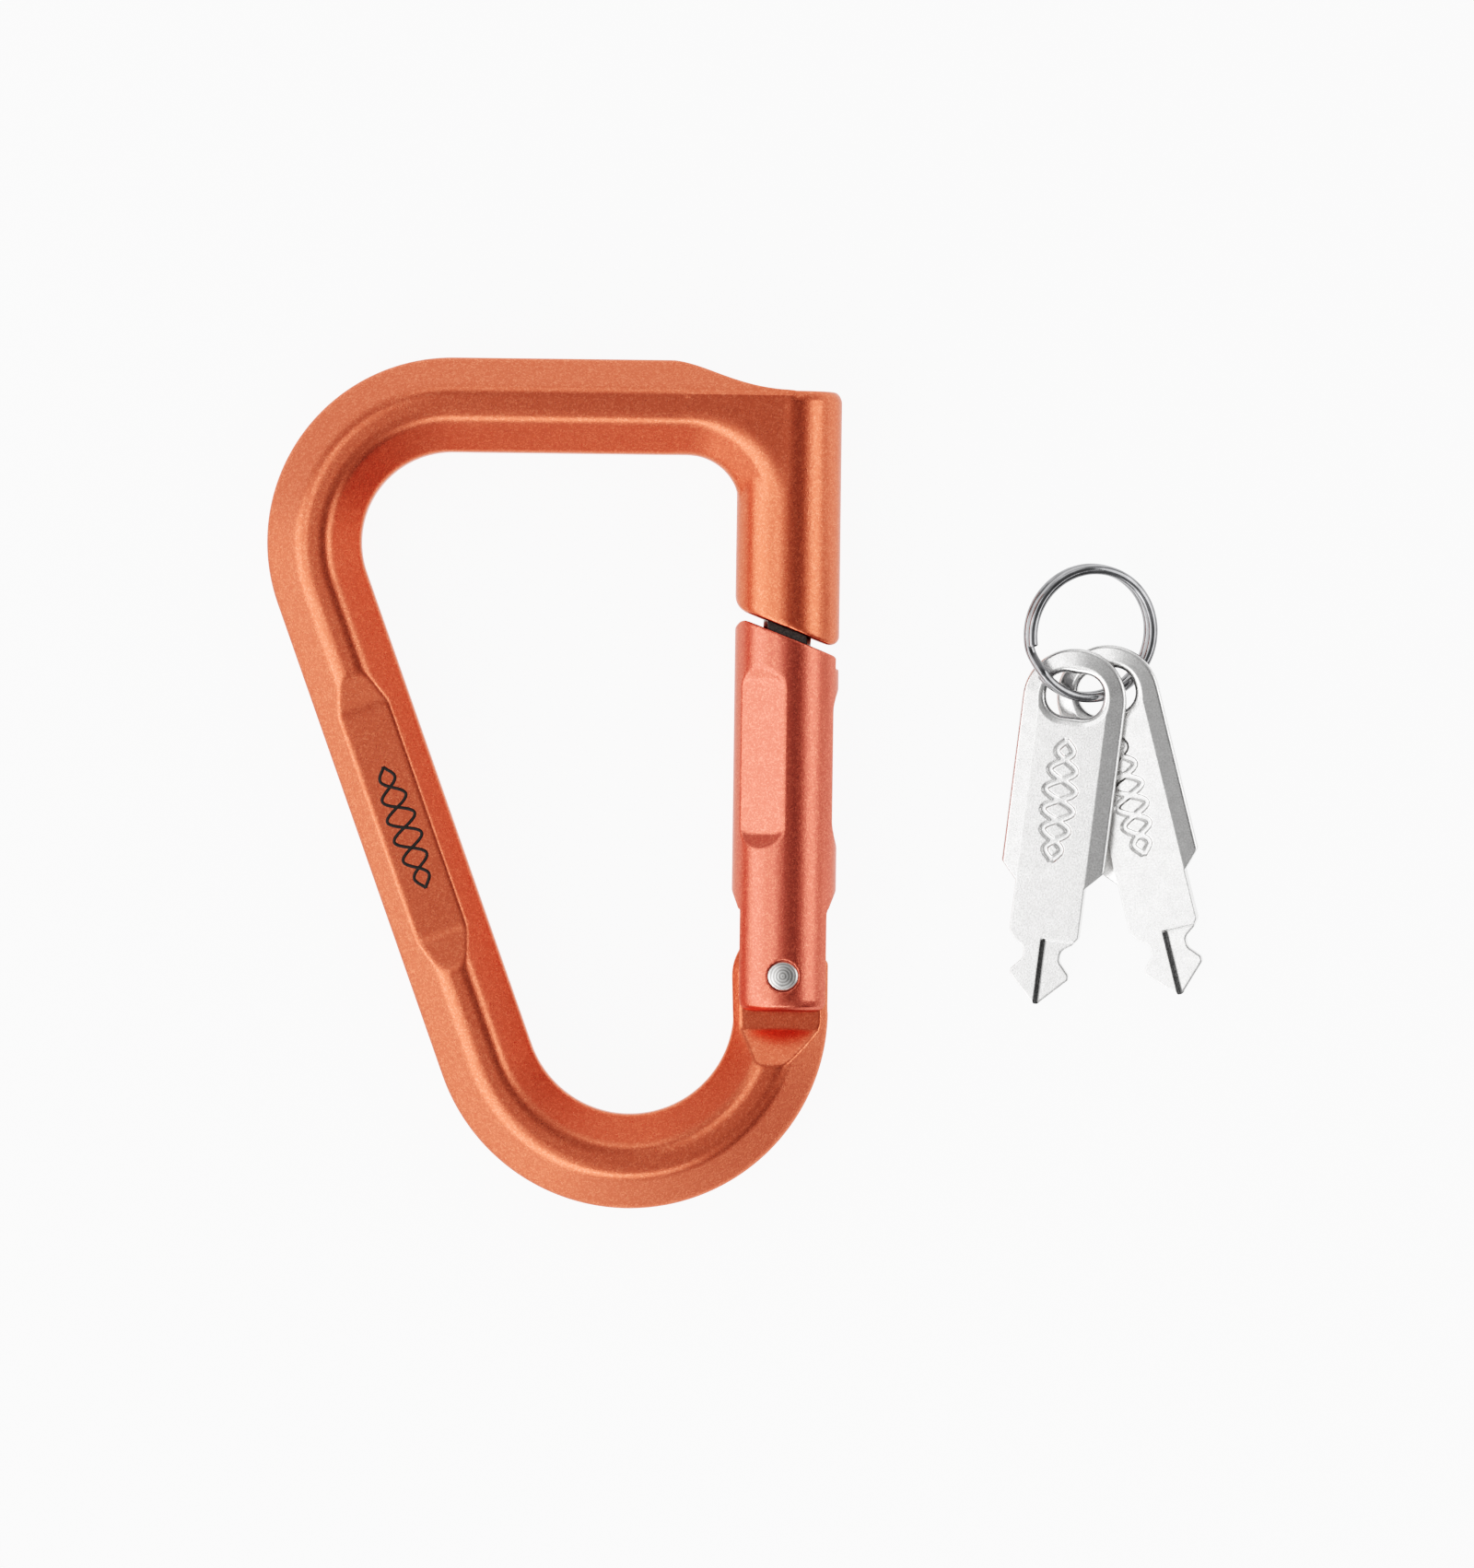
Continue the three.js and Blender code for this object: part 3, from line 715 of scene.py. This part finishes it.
def above_split():
    """The far side of the split, with the gate's top corners eased."""
    left, clear_left, clear_right, right, top = -6.05, -5.2, 5.6, 6.3, 60

    def at(x):
        return GATE_FACE_Y + SPLIT_SLOPE * x

    corners = [(-PAST, at(left) - 1.3), (left, at(left) - 1.3), (clear_left, at(clear_left)),
               (clear_right, at(clear_right)), (right, at(clear_right) - 1.5),
               (PAST, at(clear_right) - 1.5), (PAST, top), (-PAST, top)]
    outline = eased(corners, [0, 0.2, 0.9, 1.0, 0, 0, 0, 0])
    return slab("above", outline, -SLAB_HALF, SLAB_HALF)


def ear_cut(side, ear):
    """Narrows the fork on one side, with an S-shaped run up to the full round."""
    waist, full = 7.2, 10.6
    corners = [(ear, -PAST), (ear, waist), (GATE_R + 0.3, full), (PAST, full), (PAST, -PAST)]
    outline = eased(corners, [0, 3, 1.0, 0, 0], 6)
    return slab("ear", [(x * side, y) for x, y in outline], -SLAB_HALF, SLAB_HALF)


def on_gate_bar(p):
    """Full on the round bar and its flats, fading out toward the fork and the split."""
    return min(p.y - 10, GATE_FACE_Y + SPLIT_SLOPE * p.x - p.y) / 1.5


def make_gate():
    body = turned("gate_bar", [
        (0, GATE_END), (4.6, GATE_END), (5.4, GATE_END + 0.15), (5.85, GATE_END + 0.6),
        (GATE_R, GATE_END + 1.3), (GATE_R, GATE_FACE_Y + 5), (0, GATE_FACE_Y + 5),
    ], 128)
    cut(body, above_split(), ear_cut(1, EAR_RIGHT), ear_cut(-1, EAR_LEFT))
    cut(body, block("fork", -PAST, PAST, -PAST, FORK_TOP, -FORK_HALF, FORK_HALF),
        rod("spring_bore", SPRING_BORE[0], FORK_TOP - 1, SPRING_BORE[1]), rivet_hole(),
        flat_cut(OUTER_FLAT, 0), flat_cut(FACE_FLAT, 120), flat_cut(FACE_FLAT, -120),
        rod("pocket", NOSE_HOLE_R, POCKET_FLOOR, 50),
        block("nose_slot", 0, PAST, POCKET_FLOOR, 50, -NOSE_SLOT_HALF, NOSE_SLOT_HALF))
    regrid(body, GATE_GRID)
    relax(body, 22, on_gate_bar)
    relax(body, 8)
    body.name = "gate_bar"
    place(body, "gate", ORANGE_GATE, "gate", slot="orange_anodised_gate")


def make_rivet():
    end = 5.5
    flare = RIVET_R + 0.2
    half = [(RIVET_R, end - 1.2), (flare, end - 0.3)]
    half += [(flare * math.cos(math.radians(a)), end - 0.2 + 0.6 * math.sin(math.radians(a)))
             for a in range(0, 81, 8)]
    profile = [(0, -end - 0.4)] + [(r, -y) for r, y in reversed(half)] + half + [(0, end + 0.4)]
    body = spin(turned("rivet", profile, 64), 90, "X")
    place(body, "gate", RIVET_STEEL, "gate_rivet", slot="turned_steel")


# ------------------------------------------------------------------ lock stack

def make_lock_bolt():
    body = turned("bolt", [
        (0, 36.0), (2.35, 36.0), (2.75, 36.4), (2.75, 49.8), (4.3, 49.8), (STACK_R, 50.05),
        (STACK_R, 58.15), (4.3, 58.4), (0, 58.4),
    ], 96)
    for near, far in ((NOSE_HALF, PAST), (-PAST, -NOSE_HALF)):
        cut(body, block("nose_flat", -PAST, PAST, 30, 45, near, far))
    cut(body, block("drive", -TIP_PASS, TIP_PASS, 52.9, 60, -KEYWAY_HALF, KEYWAY_HALF))
    soften(body, LOCK_GRID, 4)
    body.name = "bolt"
    place(body, "lock_bolt", DARK_STEEL, "lock_bolt", slot="dark_steel")


def make_key_plug():
    body = turned("plug", [
        (0, 59.8), (4.3, 59.8), (STACK_R, 60.05), (STACK_R, 65.5), (4.4, 65.78), (4.15, 65.9),
        (0, 65.9),
    ], 96)
    cut(body, block("way", -PAST, PAST, 61.5, 70, -KEYWAY_HALF, KEYWAY_HALF),
        block("tip_way", -TIP_PASS, TIP_PASS, 50, 70, -KEYWAY_HALF, KEYWAY_HALF))
    soften(body, LOCK_GRID, 4)
    body.name = "plug"
    place(body, "key_plug", DARK_STEEL, "key_plug", slot="dark_steel")


def make_snap_ring():
    gap, outer_r, inner_r, low, high = 16, 4.95, 4.3, 66.3, 66.85
    outer = arc(0, 0, outer_r, gap, 360 - gap, 72)
    inner = arc(0, 0, inner_r, 360 - gap, gap, 72)
    body = slab("snap", outer + inner, -high, -low)
    spin(body, 90, "X")
    soften(body, SNAP_GRID, 3)
    body.name = "snap_ring"
    place(body, "carabiner", SPRING_STEEL, "plug_snap_ring", slot="spring_steel")


def make_plunger():
    body = turned("plunger_body", [
        (0, 5.15), (0.5, 5.22), (1.0, 5.42), (1.6, 5.9), (2.0, 6.5), (2.1, 6.9), (2.1, 12.5),
        (1.9, 12.7), (0.95, 12.7), (0.95, 15.4), (0.75, 15.6), (0, 15.6),
    ], 64)
    place(body, "plunger", BRASS, "gate_plunger", slot="brass")


# --------------------------------------------------------------- ring and keys

def coil_point(degrees):
    """A point on the wire's middle line, which steps up one pitch between the coils."""
    step_start, step_sweep = RING_STEP
    rise = min(max((degrees - step_start) / step_sweep, 0), 1)
    z = RING_PITCH * (smooth_step(rise) - 0.5)
    a = math.radians(degrees)
    return Vector((RING_R * math.cos(a), RING_R * math.sin(a), z))


def wire_section(here, size):
    """A squarish ring of points round a point of the coil."""
    out = Vector((here.x, here.y, 0)).normalized()
    ring = []
    for i in range(20):
        a = 2 * math.pi * i / 20
        c, s = math.cos(a), math.sin(a)
        reach = size * (abs(c) ** WIRE_SQUARENESS + abs(s) ** WIRE_SQUARENESS) ** (-1 / WIRE_SQUARENESS)
        ring.append(tuple(here + out * (reach * c) + Vector((0, 0, reach * s))))
    return ring


def make_split_ring():
    """Two coils of slightly flattened wire whose ends taper a little over a short cap."""
    steps, cap = 560, 0.12
    start, end = RING_ENDS
    rings = []
    for k in range(-1, steps + 2):
        degrees = start + (end - start) * min(max(k, 0), steps) / steps
        here, size = coil_point(degrees), RING_WIRE
        if k in (-1, steps + 1):
            ahead = (coil_point(degrees + 0.5) - coil_point(degrees - 0.5)).normalized()
            here = here + ahead * (-cap if k < 0 else cap)
            size = RING_WIRE * 0.8
        rings.append(wire_section(here, size))
    body = loft("coil", rings)
    body.name = "ring_coil"
    swing = JOINTS["key_1_swing"]
    centre = (Vector(swing["pos_m"]) - PIVOT) / MM
    toward = math.radians(RING_TOWARD)
    axis = Vector((math.cos(toward), math.sin(toward), 0))
    pose = (Matrix.Translation(centre) @ Matrix.Rotation(math.radians(RING_TILT), 4, axis)
            @ Matrix.Rotation(math.radians(RING_SPIN), 4, "Z"))
    place(body, "split_ring", NICKEL, "split_ring", slot="nickel_plate", pose=pose)


def key_slot():
    """The slot with a broad rounding on both rims."""
    centre_y, half_x, half_y, corner = 36.15, 3.35, 2.55, 2.3
    rings = []
    flare, depth, steps = 0.95, 0.6, 6
    levels = [(-3, flare)]
    for k in range(steps + 1):
        t = 1 - k / steps
        levels.append((-KEY_HALF + depth * (1 - t), flare * (1 - math.sqrt(1 - t * t))))
    levels += [(-z, grow) for z, grow in reversed(levels)]
    for z, grow in levels:
        outline = rounded_box(0, centre_y, half_x + grow, half_y + grow, corner + grow)
        rings.append([(x, y, z) for x, y in outline])
    return loft("slot", rings)


def key_blade():
    """The arrowhead tip, its neck and the straight shank."""
    half = [(3.35, 3.3), (3.35, 3.9), (2.1, 5.3), (2.1, 6.5), (3.3, 7.35), (4.05, 8.3), (4.05, 20)]
    half_radii = [0.3, 0.3, 0.8, 0.8, 0.5, 0.5, 0]
    outline = [(0, 0)] + half + [(-x, y) for x, y in reversed(half)]
    radii = [0.25] + half_radii + half_radii[::-1]
    return slab("blade", eased(outline, radii, 4), -KEY_HALF, KEY_HALF)


def key_head():
    """The head, with its sides and round end bevelled on both faces."""
    half_width, foot, round_y = 6.05, 12, 35.5
    rings = []
    for inset, z in ((2.05, -KEY_HALF), (0.3, -0.5), (0.08, -0.36), (0, -0.2),
                     (0, 0.2), (0.08, 0.36), (0.3, 0.5), (2.05, KEY_HALF)):
        half = half_width - inset
        outline = [(-half, foot), (half, foot)] + arc(0, round_y, half, 0, 180, 48)
        rings.append([(x, y, z) for x, y in outline])
    body = loft("head", rings)
    for side in (1, -1):
        shoulder = [(4.05, 14.1), (6.2, 16.35), (PAST, 16.35), (PAST, 8), (0, 8), (0, 14.1)]
        outline = eased(shoulder, [0.6, 0, 0, 0, 0, 0])
        cut(body, slab("shoulder", [(x * side, y) for x, y in outline], -3, 3))
    return body


def key_grooves(side):
    """A two-strand twist pressed into one face."""
    half_width, depth = 0.34, 0.28
    along_key = Matrix(((0, -1, 0, -0.2), (1, 0, 0, 0), (0, 0, side, 0), (0, 0, 0, 1)))
    tools = []
    for phase in (0, math.pi):
        line = twist_line(16.8, 14.2, 1.8, 3.0, phase)
        groove = ribbon("groove", line, half_width, KEY_HALF - depth, KEY_HALF + 1)
        groove.data.transform(along_key)
        tools.append(outward(groove))
    return tools


def key_step(side):
    """The recess in one half of one face of the tip, with a sloped wall."""
    depth, length = 0.72, 7.75
    floor = KEY_HALF - depth
    section = [(0.1, floor), (PAST, floor), (PAST, 3), (-1.2, 3), (-0.24, KEY_HALF + 0.05)]
    body = slab("tip", section, -1, length)
    body.data.transform(Matrix(((1, 0, 0, 0), (0, 0, 1, 0), (0, 1, 0, 0), (0, 0, 0, 1))))
    outward(body)
    return body if side > 0 else spin(body, 180, "Y")


def is_step_wall(face):
    """True on the steep wall between the two halves of the tip, which gets near-black steel as painted
    shade along the step.
    """
    facing, at = face.normal, face.center
    return at.y < 7.6 and abs(at.x) < 0.4 and abs(at.z) < KEY_HALF and abs(facing.x) > 0.4


def make_key(name):
    body = key_blade()
    join(body, key_head())
    cut(body, key_slot(), key_step(1), key_step(-1))
    cut(body, *key_grooves(1), *key_grooves(-1))
    soften(body, KEY_GRID, 4)
    body.name = f"{name}_blank"
    walls = [face.index for face in body.data.polygons if is_step_wall(face)]
    x, y, z, heading, roll, pitch = KEY_PLACES[name]
    pose = (Matrix.Translation((x, y, z)) @ Matrix.Rotation(math.radians(heading), 4, "Z")
            @ Matrix.Rotation(math.radians(pitch), 4, "X")
            @ Matrix.Rotation(math.radians(-roll), 4, "Y"))
    place(body, name, KEY_STEEL, name, slot="key_steel", pose=pose)
    # The step wall gets the near-black steel as painted shade in the step.
    body.data.materials.append(KEY_WALL_PAINTED_SHADE)
    for index in walls:
        body.data.polygons[index].material_index = 1


# ------------------------------------------------------- inner CAD pieces kept

def dress(node, material):
    """Gives a CAD node its finish; its shape stays."""
    piece = frame["nodes"][node]
    piece.data.materials.clear()
    piece.data.materials.append(material)


# ------------------------------------------------------------ camera and light

def make_camera():
    """A long lens straight above, turned a little, with the whole set in view."""
    centre_x, centre_y, height, distance, roll = 0.00015, 0.00014, 0.18146, 1.4, 0.75
    data = bpy.data.cameras.new("camera")
    data.sensor_fit = "AUTO"
    data.sensor_width = 36
    data.lens = 36 * distance / height
    camera = bpy.data.objects.new("camera", data)
    camera.location = (centre_x, centre_y, distance)
    camera.rotation_euler = (0, 0, math.radians(roll))
    bpy.context.collection.objects.link(camera)
    bpy.context.scene.camera = camera


def softbox(name, azimuth, elevation, distance, size, radiance):
    """An area light aimed at the set, in metres. Azimuth is from +X, in degrees."""
    data = bpy.data.lights.new(name, "AREA")
    data.shape = "RECTANGLE"
    data.size, data.size_y = size
    data.energy = radiance * math.pi * size[0] * size[1]
    a, e = math.radians(azimuth), math.radians(elevation)
    toward = Vector((math.cos(a) * math.cos(e), math.sin(a) * math.cos(e), math.sin(e)))
    lamp = bpy.data.objects.new(name, data)
    lamp.location = toward * distance
    lamp.rotation_euler = toward.to_track_quat("Z", "Y").to_euler()
    bpy.context.collection.objects.link(lamp)


def make_world():
    """A pale horizon that darkens overhead, with two dark cards on the right, low and high."""
    world = bpy.data.worlds.new("studio")
    bpy.context.scene.world = world
    world.use_nodes = True
    nodes, links = world.node_tree.nodes, world.node_tree.links
    direction = nodes.new("ShaderNodeTexCoord").outputs["Generated"]
    split = nodes.new("ShaderNodeSeparateXYZ")
    ramp = nodes.new("ShaderNodeValToRGB")
    links.new(direction, split.inputs[0])
    links.new(split.outputs["Z"], ramp.inputs["Fac"])
    stops = ramp.color_ramp.elements
    stops.new(0.3)
    stops.new(0.6)
    for stop, level in zip(stops, (0.85, 0.75, 0.54, 0.52)):
        stop.color = (level, level, level, 1)
    low_card = ((0.75, -0.66, 0.0), 0.6, 0.25)
    high_card = ((0.42, 0.1, 0.9), 0.88, 0.4)
    shades = []
    for toward, edge, darkest in (low_card, high_card):
        flag = nodes.new("ShaderNodeVectorMath")
        flag.operation = "DOT_PRODUCT"
        flag.inputs[1].default_value = toward
        links.new(direction, flag.inputs[0])
        shade = nodes.new("ShaderNodeMapRange")
        shade.inputs["From Min"].default_value = edge
        shade.inputs["To Min"].default_value = 1.0
        shade.inputs["To Max"].default_value = darkest
        links.new(flag.outputs["Value"], shade.inputs["Value"])
        shades.append(shade.outputs["Result"])
    both = nodes.new("ShaderNodeMath")
    both.operation = "MULTIPLY"
    links.new(shades[0], both.inputs[0])
    links.new(shades[1], both.inputs[1])
    links.new(ramp.outputs["Color"], nodes["Background"].inputs["Color"])
    links.new(both.outputs[0], nodes["Background"].inputs["Strength"])


def make_floor():
    reach, thickness, gap = 2, 0.02, 0.00002
    floor = block("floor", -reach, reach, -reach, reach, -thickness, -gap)
    finish = Finish("floor_paper")
    finish.set(Roughness=0.9, Specular_IOR_Level=0.0)
    finish.set(Emission_Color=(1, 1, 1, 1), Emission_Strength=1.15)
    finish.tint(finish.noise(3), (0.08, 0.08, 0.08), (0.085, 0.085, 0.085))
    floor.data.materials.append(finish.material)


def set_tone():
    """A plain view with the toe and shoulder of a print."""
    settings = bpy.context.scene.view_settings
    settings.view_transform = "Standard"
    settings.use_curve_mapping = True
    mapping = settings.curve_mapping
    brightest = 1.25
    mapping.white_level = (brightest,) * 3
    curve = mapping.curves[3]
    response = ((0.05, 0.014), (0.1, 0.05), (0.2, 0.165), (0.35, 0.36), (0.6, 0.6), (0.85, 0.78),
                (1.0, 0.87))
    for light, result in response:
        curve.points.new(light / brightest, result)
    curve.points[-1].location = (1.0, 0.965)
    mapping.update()


# -------------------------------------------------------------------- assembly

make_camera()
make_world()
make_floor()
softbox("left_box", 211, 31, 0.7, (1.25, 0.6), 1.5)
softbox("left_high_box", 180, 66.5, 0.72, (0.7, 0.28), 1.25)
softbox("right_box", 5, 30, 0.7, (0.5, 0.37), 1.55)
softbox("near_box", -90, 36, 0.8, (0.5, 0.36), 1.3)
softbox("far_box", 90, 27, 0.8, (0.6, 0.35), 0.65)

make_frame()
make_spine_marking()
make_gate()
make_rivet()
make_lock_bolt()
make_key_plug()
make_snap_ring()
make_plunger()
make_split_ring()
for key_name in KEY_PLACES:
    make_key(key_name)

dress("ward_plate", BRASS)
dress("stop_pin", RIVET_STEEL)
dress("detent_ball", RIVET_STEEL)
for node_name in ("gate_spring", "detent_spring"):
    dress(node_name, SPRING_STEEL)

set_tone()
